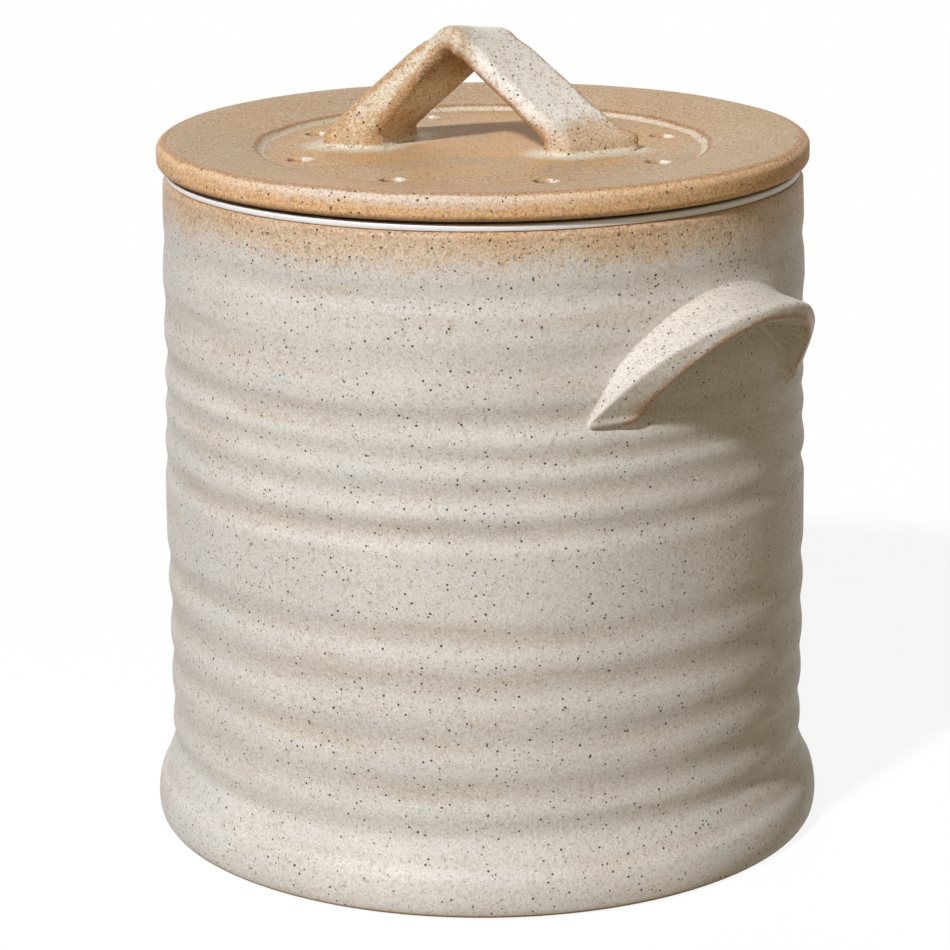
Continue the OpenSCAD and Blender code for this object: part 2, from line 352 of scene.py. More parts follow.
# Radii of circles laid on the wall: the arch under the ear, the corner over the ear and the end
# of its soft root, with the heights of their middles
EAR_HOLE = 33.0
HOLE_Z = 130
TOP_CORNER = 50.2
TOP_END = 53.4
TOP_Z = 123
# How far the ear's root sinks into the wall, at its end and past it
ROOT_SINK = 0.35
DEEP_SINK = 1.8
ROOT_STEP = 0.6
# Radii of the soft bends at the top, at the underside and along the rim
SOFT_TOP = 3.4
SOFT_LOW = 2.2
SOFT_RIM = 2.0


def on_wall(along, z, out=0.0):
    """A point over the wall: arc length from the ear's middle, height, distance out."""
    turn = along / EAR_WALL
    r = wall_radius(z, turn) + out
    return np.array((r * cos(turn), r * sin(turn), z))


def ear_out(turn, z, reach):
    """A point of the ear's outer rim, at an angle in degrees, a height and a distance out."""
    r = EAR_WALL + reach
    return np.array((r * cos(radians(turn)), r * sin(radians(turn)), z))


def rounded_corner(before, corner, after, radius, steps):
    """Points of a soft bend that cuts a corner."""
    to_before, to_after = before - corner, after - corner
    a = min(radius, 0.45 * np.linalg.norm(to_before))
    b = min(radius, 0.45 * np.linalg.norm(to_after))
    start = corner + to_before / np.linalg.norm(to_before) * a
    end = corner + to_after / np.linalg.norm(to_after) * b
    out = []
    for i in range(steps + 1):
        t = i / steps
        out.append(start * (1 - t) ** 2 + corner * 2 * t * (1 - t) + end * t * t)
    return out


def ear_ring(share):
    """One section of the ear, from the wall over its top, rim and underside back to the wall.

    The share runs from -1 at one foot over 0 at the ear's middle to 1 at the other foot.
    """
    beta_top, beta_low = radians(70.5 * share), radians(75.3 * share)
    fall = abs(share) ** 3
    hole = EAR_HOLE + 1.6 * fall
    end_low = hole - SOFT_LOW

    def top_at(radius, out=0.0):
        return on_wall(radius * sin(beta_top), TOP_Z + radius * cos(beta_top), out)

    def low_at(radius, out=0.0):
        return on_wall(radius * sin(beta_low), HOLE_Z + radius * cos(beta_low), out)

    top, low = top_at(TOP_CORNER), low_at(hole)
    rim = ear_out(29 * share, 169.7 - 28 * abs(share) ** 2.25, EAR_REACH * (1 - (29 * share / 30) ** 2))
    edge = ear_out(20.3 * share, 165.3 - 22.3 * abs(share) ** 2.5, EAR_REACH - 12.4 * fall)
    wall_top, deep_top = top_at(TOP_END, -ROOT_SINK), top_at(TOP_END + ROOT_STEP, -DEEP_SINK)
    wall_low, deep_low = low_at(end_low, -ROOT_SINK), low_at(end_low - ROOT_STEP, -DEEP_SINK)
    ring = [deep_top, wall_top]
    ring += rounded_corner(wall_top, top, rim, SOFT_TOP, 6)
    over = rounded_corner(top, rim, edge, SOFT_RIM, 6)
    ring += [ring[-1] + (over[0] - ring[-1]) * t for t in (0.25, 0.5, 0.75)]
    ring += over
    under = rounded_corner(rim, edge, low, SOFT_RIM, 6)
    ring += [(over[-1] + under[0]) / 2] + under
    root = rounded_corner(edge, low, wall_low, SOFT_LOW, 6)
    ring += [under[-1] + (root[0] - under[-1]) * t for t in (0.25, 0.5, 0.75)]
    ring += root + [wall_low, deep_low]
    return ring, [float(hump(np.linalg.norm(p - edge) / 4.4)) for p in ring]


def ear_end(ring, way, amount, inset):
    """The section moved on past the ear's end and drawn in, for its rounded foot."""
    pts = np.array(ring)
    middle = pts[3:-3].mean(0)
    moved = pts + (middle - pts) * inset
    moved += np.array((0.0, 0.10 * way, -1.0)) * amount
    return list(moved)


# How far each closing section of a foot is moved down and how much it is drawn in
EAR_ENDS = [(0.6, 0.03), (1.15, 0.12), (1.5, 0.30)]


def make_ear(name, side, node):
    """Draws an ear from foot to foot, turns it to its side and gives it a hand-made wobble."""
    rings, edges = (list(r) for r in zip(*(ear_ring(s) for s in np.linspace(-1, 1, EAR_RINGS))))
    edges = [edges[0]] * len(EAR_ENDS) + edges + [edges[-1]] * len(EAR_ENDS)
    first, last = rings[0], rings[-1]
    rings = ([ear_end(first, -1, *end) for end in EAR_ENDS[::-1]] + rings
             + [ear_end(last, 1, *end) for end in EAR_ENDS])
    if side < 0:
        rings = [[(-p[0], -p[1], p[2]) for p in ring] for ring in rings]
    piece = drawn(name, rings, {"edge": edges})
    pts = points_of(piece)
    out = np.hypot(pts[:, 0], pts[:, 1])
    keep = ease((out - 95.2) / 4)
    for i in np.nonzero(keep > 0)[0]:
        place = Vector(pts[i]) / 9
        pts[i] += np.array(noise.noise_vector(place + Vector((3.1 * side, 0, 0)))) * EAR_SWAY * keep[i]
    move_points(piece, pts)
    finish_with(piece, "SUBSURF", levels=1, render_levels=1)
    bpy.ops.object.shade_smooth()
    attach(piece, "crock")
    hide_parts(node)
    clothe(piece, ear_glaze())


# ---------------------------------------------------------------- lid

LID_UNDER = 197.5
SPIGOT_LOW = 193.9
# Radius and height of the lid's top, from the rim in
LID_TOP = [(91.3, 205.4), (88, 205.25), (84, 204.8), (78, 204.0), (72, 203.2), (68, 202.7),
           (66.9, 202.55), (66.1, 202.3), (65.5, 201.75), (64.9, 201.2), (64.1, 200.98), (62, 200.9),
           (58, 200.92), (50, 201.1), (42, 201.35), (36, 201.5), (20, 201.5), (0, 201.5)]
lid_line = np.array(sorted(LID_TOP))
VENT_AT = 55.9
VENT_R = 2.8
VENT_FIRST = 16.8
VENTS = 8
LID_SWAY = 0.22


def lid_height(r):
    """Height of the lid's top at a radius."""
    return float(np.interp(r, lid_line[:, 0], lid_line[:, 1]))


def across_front(pts):
    """How far points lie to the right, as the photograph shows the part."""
    return pts[:, 0] * cos(CAMERA_TURN) + pts[:, 1] * sin(CAMERA_TURN)


def make_lid():
    """Turns the lid, cuts its vents, and stores where its glaze has pooled, where its front gets a
    painted highlight and where its vents get painted highlight and shade.
    """
    top = smooth_line(LID_TOP[:16], 1.2) + [(r, 201.5) for r in range(34, 0, -2)] + [(0, 201.5)]
    under = [(r, SPIGOT_LOW) for r in (0, 30, 60, 67.2)]
    under += [(67.9, 194.1), (69.2, 195.2), (70, 195.4), (72.6, 195.4), (73.4, 195.1), (74.2, 191.9),
              (74.8, 191.1), (75.6, 190.9), (79.6, 190.9), (80.5, 191.3), (80.8, 192.1), (80.8, 194.5)]
    under += [(r, LID_UNDER) for r in (80.8, 84, 88, 91)] + [(92, 197.55)]
    edge = arc(92.9, 200.05, 2.4, -84, -10, 8) + arc(88.4, 201.4, 6.9, -9, 8, 4)
    edge += arc(92.4, 202.5, 2.9, 12, 88, 9)
    piece = turned("lid", under + edge + top, 208)
    cutters = [vent_cutter(i) for i in range(VENTS)]
    deselect()
    for cutter in cutters:
        cutter.select_set(True)
    bpy.context.view_layer.objects.active = cutters[0]
    bpy.ops.object.join()
    cut_or_join(piece, cutters[0], "DIFFERENCE")
    pts = points_of(piece)
    radius = np.hypot(pts[:, 0], pts[:, 1])
    for i in np.nonzero((pts[:, 2] > 199) & (radius > 66))[0]:
        place = Vector((pts[i, 0] / 26, pts[i, 1] / 26, 2.5))
        sway = LID_SWAY * noise.noise(place) * float(ease((radius[i] - 66) / 6))
        pts[i, 2] += sway * float(ease((pts[i, 2] - 199) / 4))
    move_points(piece, pts)
    mark(piece, "pool", lid_pool(pts))
    mark(piece, "vent", vent_glaze(pts))
    # Painted highlight: the lid's front, on the camera's side, is marked to be painted lighter on its
    # edge and top
    turn = np.degrees(np.arctan2(pts[:, 1], pts[:, 0]) - CAMERA_TURN) + 90
    turn = (turn + 180) % 360 - 180
    mark(piece, "painted_highlight", 0.15 + 0.85 * hump((turn + 16) / 48))
    bpy.ops.object.shade_smooth_by_angle(angle=SHARP_ANGLE)
    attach(piece, "lid")
    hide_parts("lid_disc")
    clothe(piece, lid_glaze())


def vent_place(i):
    """Middle of one air hole."""
    turn = radians(VENT_FIRST + 360 / VENTS * i)
    return VENT_AT * cos(turn), VENT_AT * sin(turn)


def vent_glaze(pts):
    """Painted highlight on the right side of a vent's edge, as the camera looks, above 0, and painted
    shade on its left side, below 0.
    """
    right = across_front(pts)
    glaze = np.zeros(len(pts))
    for i in range(VENTS):
        x, y = vent_place(i)
        away = np.hypot(pts[:, 0] - x, pts[:, 1] - y)
        side = right - (x * cos(CAMERA_TURN) + y * sin(CAMERA_TURN))
        near = (away < VENT_R + 1.0) & (pts[:, 2] > 197)
        glaze[near] = side[near] / VENT_R
    return glaze


def vent_cutter(i):
    """The shape of one air hole, which flares softly at the top and the bottom."""
    x, y = vent_place(i)
    z = lid_height(VENT_AT)
    flare = [(VENT_R + 0.8 * (1 - cos(radians(a))), z - 0.78 + 0.8 * sin(radians(a)))
             for a in range(0, 91, 15)]
    low = [(VENT_R + 0.6 * (1 - cos(radians(a))), SPIGOT_LOW + 0.6 - 0.6 * sin(radians(a)))
           for a in range(90, -1, -30)]
    outline = [(0, 191.5), (low[0][0] + 0.5, 191.5)] + low + flare
    outline += [(flare[-1][0] + 0.5, z + 2), (0, z + 2)]
    cutter = turned("vent_cut", outline, 28)
    cutter.data.transform(Matrix.Translation((x * MM, y * MM, 0)))
    return cutter


# ---------------------------------------------------------------- strap on the lid

# Middle of the strap's inner face at both feet and at its fold, in the photograph's frame
STRAP_SPOT = {"left": (-27.8, 7.6, 201.5), "fold": (-2.2, 4.2, 230.1), "right": (30.7, -9.2, 201.5)}
# Direction across the strap in degrees and how it falls to the back
STRAP_TURN = {"left": 62, "fold": 44, "right": 28}
STRAP_FALL = {"left": 0, "fold": 0.12, "right": 0}
STRAP_WIDTH = {"left": 27.5, "fold": 25, "right": 24.5}
STRAP_THICK = {"left": 15.0, "fold": 6.7, "right": 6.2}
STRAP_EDGE = 3.0
BEND_IN = 4.0
BEND_OUT = 8.6
FOOT_LIFT = 3.3
# Height over the lid and spread of the strap's foot below that
SKIRT = [(2.5, 0.28), (1.7, 0.34), (1.0, 0.48), (0.5, 0.75), (0.2, 1.15), (0.03, 1.6), (-0.35, 1.9)]
# The right foot's upturned toe: its middle, its direction, how far it is pushed and how wide it is
TOE_AT = (45.6, -5.8, 204.6)
TOE_WAY = (0.86, 0.42, 0.26)
TOE_PUSH = 3.7
TOE_R = 8.5
STRAP_SWAY = 0.36
POOL_REACH = 11.0
FOLD_STEPS = 12
LEG_STEPS = 20


def turned_front(points):
    """Turns points from the photograph's frame to the part's."""
    points = np.asarray(points, float)
    c, s = cos(CAMERA_TURN), sin(CAMERA_TURN)
    x, y = points[..., 0] * c - points[..., 1] * s, points[..., 0] * s + points[..., 1] * c
    return np.stack([x, y, points[..., 2]], -1)


def unit(v):
    """The direction of a vector, with length 1."""
    return v / np.linalg.norm(v)


def strap_section(width, thick, tan_front):
    """The strap's section across its width and thickness, with its marks.

    The marks say how near each point is to an edge line and whether it is on the inner face.
    """
    corner = []
    half_w, half_t = width / 2, thick / 2
    r = min(max(STRAP_EDGE, 0.34 * thick), 0.47 * thick)
    for cx, cy, start in ((1, 1, 0), (-1, 1, 90), (-1, -1, 180), (1, -1, 270)):
        for a in range(0, 91, 15):
            t = radians(start + a)
            corner.append((cx * (half_w - r) + r * cos(t), cy * (half_t - r) + r * sin(t)))
    ring = []
    for i, p in enumerate(corner):
        ring.append(p)
        if i % 7 == 6:
            q = corner[(i + 1) % len(corner)]
            extra = 9 if i in (6, 20) else 3
            for k in range(1, extra + 1):
                t = k / (extra + 1)
                ring.append((p[0] + (q[0] - p[0]) * t, p[1] + (q[1] - p[1]) * t))
    ring = np.array(ring)
    away = np.hypot(np.abs(ring[:, 0]) - half_w + 0.85, np.abs(ring[:, 1]) - half_t + 0.85)
    weight = np.where((ring[:, 0] < 0) & (ring[:, 1] > 0), tan_front, 1.0)
    return ring, hump(away / 4.6) * weight, ease((-ring[:, 1] - half_t + 2.4) / 2.0)


def strap_rings():
    """All sections of the strap from its left foot over the fold to its right foot."""
    spot = {k: np.array(v, float) for k, v in STRAP_SPOT.items()}
    wide = {k: np.array((cos(radians(a)), sin(radians(a)), -STRAP_FALL[k]))
            for k, a in STRAP_TURN.items()}
    across = unit(wide["fold"])
    peak, thick = spot["fold"], STRAP_THICK["fold"]
    out = {}
    for side in ("left", "right"):
        n = unit(np.cross(peak - spot[side], unit(wide[side] + wide["fold"])))
        out[side] = n if n[2] > 0 else -n
    out_l, out_r = (unit(out[side] - across * (out[side] @ across)) for side in ("left", "right"))
    turn = np.arccos(out_l @ out_r)
    half = unit(out_l + out_r)
    sideways = np.cross(across, half)
    sideways *= np.sign((out_r - out_l) @ sideways)
    centre_in = peak - half * BEND_IN / cos(turn / 2)
    centre_out = peak + half * (thick - BEND_OUT) / cos(turn / 2)
    legs = {}
    for side in ("left", "right"):
        legs[side] = strap_leg(side, spot[side], peak, wide, out[side], BEND_IN * tan(turn / 2))
    fold = []
    for k in range(FOLD_STEPS + 1):
        lean = turn * (k / FOLD_STEPS - 0.5)
        way = half * cos(lean) + sideways * sin(lean)
        ring, edge, inner = strap_section(STRAP_WIDTH["fold"], thick, 0.5)
        share = ring[:, 1:] / thick + 0.5
        centre = centre_in + (centre_out - centre_in) * share
        bend = BEND_IN + (BEND_OUT - BEND_IN) * share
        fold.append((centre + way * bend + ring[:, :1] * across, edge, inner))
    return legs["left"] + fold + legs["right"][::-1]


def strap_leg(side, start, peak, wide, out, run):
    """Sections of one leg from below its foot up to the fold, each with its two marks."""
    length = np.linalg.norm(peak - start)
    way = (peak - start) / length
    made = []
    lowest = (FOOT_LIFT + 0.2) / (peak[2] - start[2])
    for t in np.linspace(lowest, 1 - run / length, LEG_STEPS)[:-1]:
        centre = start + (peak - start) * t
        over = unit(wide[side] * (1 - t) + wide["fold"] * t)
        width = STRAP_WIDTH["fold"] + (STRAP_WIDTH[side] - STRAP_WIDTH["fold"]) * (1 - t) ** 1.5
        thick = STRAP_THICK["fold"] + (STRAP_THICK[side] - STRAP_THICK["fold"]) * (1 - t)
        tan_front = 0.25 if side == "right" else 1.0
        ring, edge, inner = strap_section(width, thick, tan_front)
        n = unit(out - over * (out @ over))
        pts = centre + ring[:, :1] * over + (ring[:, 1:] + thick / 2) * n
        flat = ease((0.60 - t) / 0.55)
        pts = pts + np.outer((centre[2] - pts[:, 2]) / way[2] * flat, way)
        made.append((pts, edge, inner))
    low, edge, inner = made[0]
    ahead = np.roll(low, -1, 0) - np.roll(low, 1, 0)
    normal = np.c_[ahead[:, 1], -ahead[:, 0], np.zeros(len(low))]
    normal /= np.linalg.norm(normal, axis=1)[:, None]
    normal *= np.sign(((low - low.mean(0)) * normal).sum(1).sum())
    foot = []
    for lift, grow in SKIRT:
        pts = low + normal * grow
        pts[:, 2] = [lid_height(hypot(p[0], p[1])) + lift for p in pts]
        foot.append((pts, edge, inner))
    return foot[::-1] + made


def make_strap():
    """Draws the strap from foot to foot, pushes out its toe and stores where its glaze changes."""
    sections = strap_rings()
    rings = [list(turned_front(pts)) for pts, _, _ in sections]
    marks = {"edge": [s[1] for s in sections], "inner": [s[2] for s in sections]}
    piece = drawn("lid_strap", rings, marks)
    pts = points_of(piece)
    toe, toe_way = turned_front(TOE_AT), turned_front(TOE_WAY)
    for i in range(len(pts)):
        over = pts[i, 2] - lid_height(hypot(pts[i, 0], pts[i, 1]))
        keep = float(ease((over - 0.6) / 4))
        pts[i] += np.array(noise.noise_vector(Vector(pts[i]) / 10)) * STRAP_SWAY * keep
        near = float(hump(np.linalg.norm(pts[i] - toe) / TOE_R))
        if near > 0 and over > 0.1:
            pts[i] += toe_way * TOE_PUSH * near
    move_points(piece, pts)
    finish_with(piece, "SUBSURF", levels=1, render_levels=1)
    pts = points_of(piece)
    over = pts[:, 2] - np.interp(np.hypot(pts[:, 0], pts[:, 1]), lid_line[:, 0], lid_line[:, 1])
    mark(piece, "foot", 1 - ease((over - 0.3) / 1.5))
    mark(piece, "low", 1 - ease((over - 2) / 15))
    mark(piece, "left", ease((2 - across_front(pts)) / 9))
    bpy.ops.object.shade_smooth()
    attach(piece, "lid")
    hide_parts("lid_handle")
    clothe(piece, strap_glaze())


def lid_pool(pts):
    """How thick the pale glaze has pooled on the lid round the strap's feet, 1 at a foot."""
    sections = strap_rings()
    feet = turned_front(np.concatenate([sections[5][0], sections[-6][0]]))
    pool = np.zeros(len(pts))
    for i in np.nonzero(pts[:, 2] > 199)[0]:
        away = np.hypot(feet[:, 0] - pts[i, 0], feet[:, 1] - pts[i, 1]).min()
        pool[i] = 1 - float(ease(away / POOL_REACH))
    return pool


# ---------------------------------------------------------------- materials

# How far a speck's outline is shaken, in metres, and how soft its edge is in parts of its radius
SPECK_SHAKE = 0.00035
SPECK_SOFT = 0.04


class Finish:
    """A material under construction, with short ways to add and join its nodes."""

    def __init__(self, name):
        self.material = bpy.data.materials.new(name)
        self.material.use_nodes = True
        self.tree = self.material.node_tree
        self.tree.nodes.clear()
        self.place = self.add("ShaderNodeTexCoord").outputs["Object"]

    def add(self, kind, inputs=None, **settings):
        made = self.tree.nodes.new(kind)
        for key, value in settings.items():
            setattr(made, key, value)
        for key, value in (inputs or {}).items():
            if isinstance(value, bpy.types.NodeSocket):
                self.tree.links.new(value, made.inputs[key])
            else:
                made.inputs[key].default_value = value
        return made

    def math(self, operation, a, b=0.0, c=0.0, clamp=False):
        sizes = {0: a, 1: b, 2: c}
        return self.add("ShaderNodeMath", sizes, operation=operation, use_clamp=clamp).outputs[0]

    def vector(self, operation, a, b):
        return self.add("ShaderNodeVectorMath", {0: a, 1: b}, operation=operation).outputs[0]

    def times(self, a, b):
        return self.math("MULTIPLY", a, b)

    def noise(self, scale, detail=2.0, rough=0.5, stretch=None, bend=0.0):
        place = self.place
        if stretch:
            place = self.add("ShaderNodeMapping", {"Vector": place, "Scale": stretch}).outputs[0]
        sizes = {"Vector": place, "Scale": scale, "Detail": detail, "Roughness": rough,
                 "Distortion": bend}
        return self.add("ShaderNodeTexNoise", sizes).outputs["Fac"]

    def between(self, value, low, high):
        """Rises softly from 0 at low to 1 at high."""
        sizes = {"Value": value, "From Min": low, "From Max": high}
        settings = {"interpolation_type": "SMOOTHSTEP", "clamp": True}
        return self.add("ShaderNodeMapRange", sizes, **settings).outputs[0]

    def mix(self, share, a, b):
        made = self.add("ShaderNodeMix", {"Factor": share}, data_type="RGBA")
        for socket, value in zip((made.inputs[6], made.inputs[7]), (a, b)):
            if isinstance(value, bpy.types.NodeSocket):
                self.tree.links.new(value, socket)
            else:
                socket.default_value = (*value, 1.0)
        return made.outputs[2]

    def lay(self, base, colour, amount, share):
        """Lays a colour over a base, as far as the amount says and never more than the share."""
        return self.mix(self.times(amount, share), base, colour)

    def stored(self, name):
        return self.add("ShaderNodeAttribute", attribute_name=name).outputs["Fac"]

    def height(self):
        return self.add("ShaderNodeSeparateXYZ", {0: self.place}).outputs[2]

    def radius(self):
        flat = self.vector("MULTIPLY", self.place, (1, 1, 0))
        return self.add("ShaderNodeVectorMath", {0: flat}, operation="LENGTH").outputs["Value"]

    def speckle(self, scale, size, share, offset=0.0):
        """Round specks: cells a metre, radius in cells, share of the cells that hold a large one."""
        shake = self.add("ShaderNodeTexNoise", {"Vector": self.place, "Scale": 900.0, "Detail": 1.0})
        shake = self.vector("SUBTRACT", shake.outputs["Color"], (0.5, 0.5, 0.5))
        shake = self.add("ShaderNodeVectorMath", {0: shake, "Scale": SPECK_SHAKE}, operation="SCALE")
        place = self.vector("ADD", self.place, shake.outputs[0])
        place = self.vector("ADD", place, (offset, offset, offset))
        cells = self.add("ShaderNodeTexVoronoi", {"Vector": place, "Scale": scale, "Randomness": 1.0})
        chance = self.add("ShaderNodeSeparateXYZ", {0: cells.outputs["Color"]}).outputs[0]
        short = self.math("SUBTRACT", 1.0, chance)
        radius = self.math("MULTIPLY_ADD", short, -0.6 * size / share, size)
        inside = self.math("SUBTRACT", radius, cells.outputs["Distance"])
        return self.between(inside, -SPECK_SOFT * size, 3 * SPECK_SOFT * size)

    def bump(self, height, distance, strength=1.0, under=None):
        inputs = {"Height": height, "Distance": distance, "Strength": strength}
        if under is not None:
            inputs["Normal"] = under
        return self.add("ShaderNodeBump", inputs).outputs[0]

    def shade(self, **inputs):
        names = {"colour": "Base Color", "roughness": "Roughness", "normal": "Normal",
                 "specular": "Specular IOR Level", "sheen": "Sheen Weight"}
        shader = self.add("ShaderNodeBsdfPrincipled", {names[k]: v for k, v in inputs.items()})
        self.add("ShaderNodeOutputMaterial", {"Surface": shader.outputs[0]})
        return self.material


def srgb(r, g, b):
    """A colour as seen on screen, 0 to 255, as the shader wants it."""
    out = []
    for c in (r, g, b):
        c = c / 255
        out.append(c / 12.92 if c <= 0.04045 else ((c + 0.055) / 1.055) ** 2.4)
    return tuple(out)


DARK_SPECK = srgb(50, 34, 22)
MIDDLE_SPECK = srgb(112, 82, 58)
BROWN_SPECK = srgb(150, 112, 78)
BARE_CLAY = srgb(196, 160, 124)


def speckled(finish, colour, crowd=1.0, grain=1.0):
    """Lays the glaze's fine grain and its iron specks over a colour. Gives the large specks too."""
    fine = finish.noise(1350.0, 2.0, 0.75)
    coarse = finish.noise(520.0, 2.0, 0.7)
    tinted = finish.mix(finish.times(grain, 0.27), colour, srgb(140, 112, 82))
    colour = finish.mix(finish.between(fine, 0.50, 0.70), colour, tinted)
    bleached = finish.mix(0.42, colour, srgb(250, 250, 248))
    colour = finish.mix(finish.between(fine, 0.50, 0.30), colour, bleached)
    smeared = finish.mix(finish.times(grain, 0.31), colour, srgb(168, 138, 106))
    colour = finish.mix(finish.between(coarse, 0.52, 0.72), colour, smeared)
    dots = finish.speckle(1050.0 * crowd, 0.27 * crowd, 0.34, offset=0.31)
    colour = finish.lay(colour, BROWN_SPECK, dots, 0.5)
    middle = finish.speckle(690.0 * crowd, 0.20 * crowd, 0.5, offset=0.17)
    colour = finish.lay(colour, MIDDLE_SPECK, middle, 0.66)
    large = finish.speckle(500.0 * crowd, 0.20 * crowd, 0.8)
    colour = finish.lay(colour, DARK_SPECK, large, 0.9)
    return colour, large


def stoneware_shade(finish, colour, large, bare=None, specular=0.22):
    """A satin glaze over slightly uneven clay, rougher where the clay is bare."""
    grain = finish.noise(2600.0, 2.0, 0.6)
    swell = finish.noise(160.0, 3.0, 0.55)
    low = finish.bump(swell, 0.00030, 0.5)
    fine = finish.bump(grain, 0.00006, 0.7, low)
    pits = finish.bump(finish.math("SUBTRACT", 1.0, large), 0.00008, 0.6, fine)
    roughness = finish.between(finish.noise(420.0, 2.0), 0.2, 0.8)
    roughness = finish.math("MULTIPLY_ADD", roughness, 0.14, 0.40)
    if bare is not None:
        roughness = finish.math("MULTIPLY_ADD", bare, 0.4, roughness, clamp=True)
    return finish.shade(colour=colour, roughness=roughness, normal=pits, specular=specular)


def crock_glaze():
    """Cream glaze with tan in the ring hollows, partly its own colour and partly painted shade, a warm
    band at the rim and bare clay under the foot.
    """
    finish = Finish("crock_speckled_glaze")
    z = finish.height()
    cloud = finish.noise(26.0, 3.0, 0.6)
    broad = finish.noise(9.0, 2.0, 0.5)
    cream = finish.mix(finish.between(cloud, 0.35, 0.68), srgb(220, 218, 213), srgb(226, 222, 215))
    greyed = finish.mix(0.4, cream, srgb(206, 203, 197))
    cream = finish.mix(finish.between(broad, 0.42, 0.66), cream, greyed)
    streak = finish.noise(20.0, 4.0, 0.65, stretch=(1.0, 1.0, 7.0))
    cream = finish.lay(cream, srgb(208, 190, 166), finish.between(streak, 0.50, 0.70), 0.30)
    # Tan laid in the throwing rings' hollows: partly the glaze's own colour, partly painted shade
    hollow = finish.math("ADD", finish.stored("hollow"), finish.math("MULTIPLY_ADD", streak, 1.6, -0.8))
    cream = finish.lay(cream, srgb(196, 182, 160), finish.between(hollow, 0.15, 1.2), 0.42)
    # The rim's band starts at a height that wanders in broad and in fine steps
    wander = finish.math("MULTIPLY_ADD", finish.noise(30.0, 3.0, 0.6), 0.014, z)
    wander = finish.math("MULTIPLY_ADD", finish.noise(190.0, 4.0, 0.75), 0.012, wander)
    rim = finish.between(wander, 0.1925, 0.2035)
    patch = finish.between(finish.noise(44.0, 3.0), 0.4, 0.62)
    colour = finish.mix(rim, cream, finish.mix(patch, srgb(222, 198, 170), srgb(218, 186, 150)))
    colour = finish.lay(colour, srgb(196, 152, 110), finish.between(z, 0.1905, 0.1948), 0.55)
    more = finish.speckle(640.0, 0.26, 0.75, offset=0.57)
    colour = finish.lay(colour, srgb(84, 56, 36), finish.times(more, rim), 0.85)
    colour, large = speckled(finish, colour, grain=finish.math("MULTIPLY_ADD", rim, 0.9, 1.0))
    bare = finish.between(z, 0.0014, 0.0007)
    colour = finish.mix(bare, colour, BARE_CLAY)
    return stoneware_shade(finish, colour, large, bare)


def ear_glaze():
    """Cream glaze that broke brown along the ear's lower edge."""
    finish = Finish("ear_speckled_glaze")
    cloud = finish.noise(60.0, 3.0, 0.6)
    cream = finish.mix(finish.between(cloud, 0.35, 0.68), srgb(220, 215, 206), srgb(226, 218, 206))
    wander = finish.math("MULTIPLY_ADD", finish.noise(180.0, 3.0), 1.0, -0.5)
    edge = finish.math("ADD", finish.stored("edge"), wander)
    colour = finish.lay(cream, srgb(192, 152, 108), finish.between(edge, 0.3, 0.88), 0.85)
    colour, large = speckled(finish, colour, crowd=1.12, grain=1.2)
    return stoneware_shade(finish, colour, large)


def lid_glaze():
    """Thin tan glaze, warm in the middle, with pale glaze pooled round the strap's feet, a painted
    highlight on its front and painted highlight and shade at its vents.
    """
    finish = Finish("lid_speckled_glaze")
    z = finish.height()
    cloud = finish.noise(22.0, 4.0, 0.6)
    base = finish.mix(finish.between(cloud, 0.38, 0.66), srgb(189, 162, 130), srgb(194, 164, 126))
    streak = finish.noise(16.0, 5.0, 0.65, stretch=(1.6, 1.0, 1.0), bend=0.6)
    inner = finish.between(finish.radius(), 0.070, 0.050)
    warm = finish.math("MULTIPLY_ADD", inner, 0.75, 0.2)
    warm = finish.times(finish.between(streak, 0.40, 0.60), warm)
    base = finish.mix(warm, base, srgb(214, 166, 110))
    # Painted light: the outer part of the top on the front is painted lighter and warmer
    front_painted_light = finish.times(finish.stored("painted_highlight"), finish.between(finish.radius(), 0.020, 0.045))
    base = finish.lay(base, srgb(216, 175, 129), front_painted_light, 0.6)
    cloud = finish.between(finish.noise(34.0, 4.0, 0.7), 0.52, 0.68)
    base = finish.lay(base, srgb(207, 186, 158), cloud, 0.45)
    # Brown line and pale corner round the recess
    r = finish.math("SUBTRACT", finish.radius(), 0.0006)
    r = finish.math("MULTIPLY_ADD", finish.noise(70.0, 2.0), 0.0012, r)
    line = finish.times(finish.between(r, 0.0656, 0.0661), finish.between(r, 0.0676, 0.0667))
    base = finish.lay(base, srgb(166, 120, 76), line, 0.8)
    corner = finish.times(finish.between(r, 0.0637, 0.0643), finish.between(r, 0.0659, 0.0654))
    base = finish.lay(base, srgb(227, 217, 198), corner, 0.75)
    # The edge, with a painted highlight high on its front and a brown line where it turns to the top
    patch = finish.math("MULTIPLY_ADD", finish.noise(50.0, 4.0, 0.7), 0.006, z)
    painted_highlight = finish.times(finish.between(patch, 0.2034, 0.2066), finish.stored("painted_highlight"))
    side = finish.mix(painted_highlight, srgb(240, 191, 136), srgb(233, 216, 199))
    edge = finish.between(r, 0.0922, 0.0932)
    base = finish.lay(base, side, edge, 0.95)
    turn = finish.times(finish.between(r, 0.0918, 0.0924), finish.between(r, 0.0944, 0.0937))
    base = finish.lay(base, srgb(184, 138, 92), turn, 0.8)
    # Pale glaze pooled round the strap's feet, and painted highlight and shade at the vents
    pool = finish.math("MULTIPLY_ADD", finish.noise(150.0, 3.0), 0.4, finish.stored("pool"))
    base = finish.lay(base, srgb(226, 218, 196), finish.between(pool, 0.30, 1.05), 0.9)
    vent = finish.stored("vent")
    # Painted highlight on the right of each vent, painted shade on its left
    base = finish.lay(base, srgb(246, 240, 228), finish.between(vent, 0.15, 0.5), 0.9)
    base = finish.lay(base, srgb(112, 76, 46), finish.between(vent, -0.60, -1.0), 0.75)
    colour, large = speckled(finish, base, grain=finish.math("MULTIPLY_ADD", edge, 0.5, 1.25))
    bare = finish.between(z, 0.1985, 0.1977)
    colour = finish.mix(bare, colour, BARE_CLAY)
    return stoneware_shade(finish, colour, large, bare, 0.05)


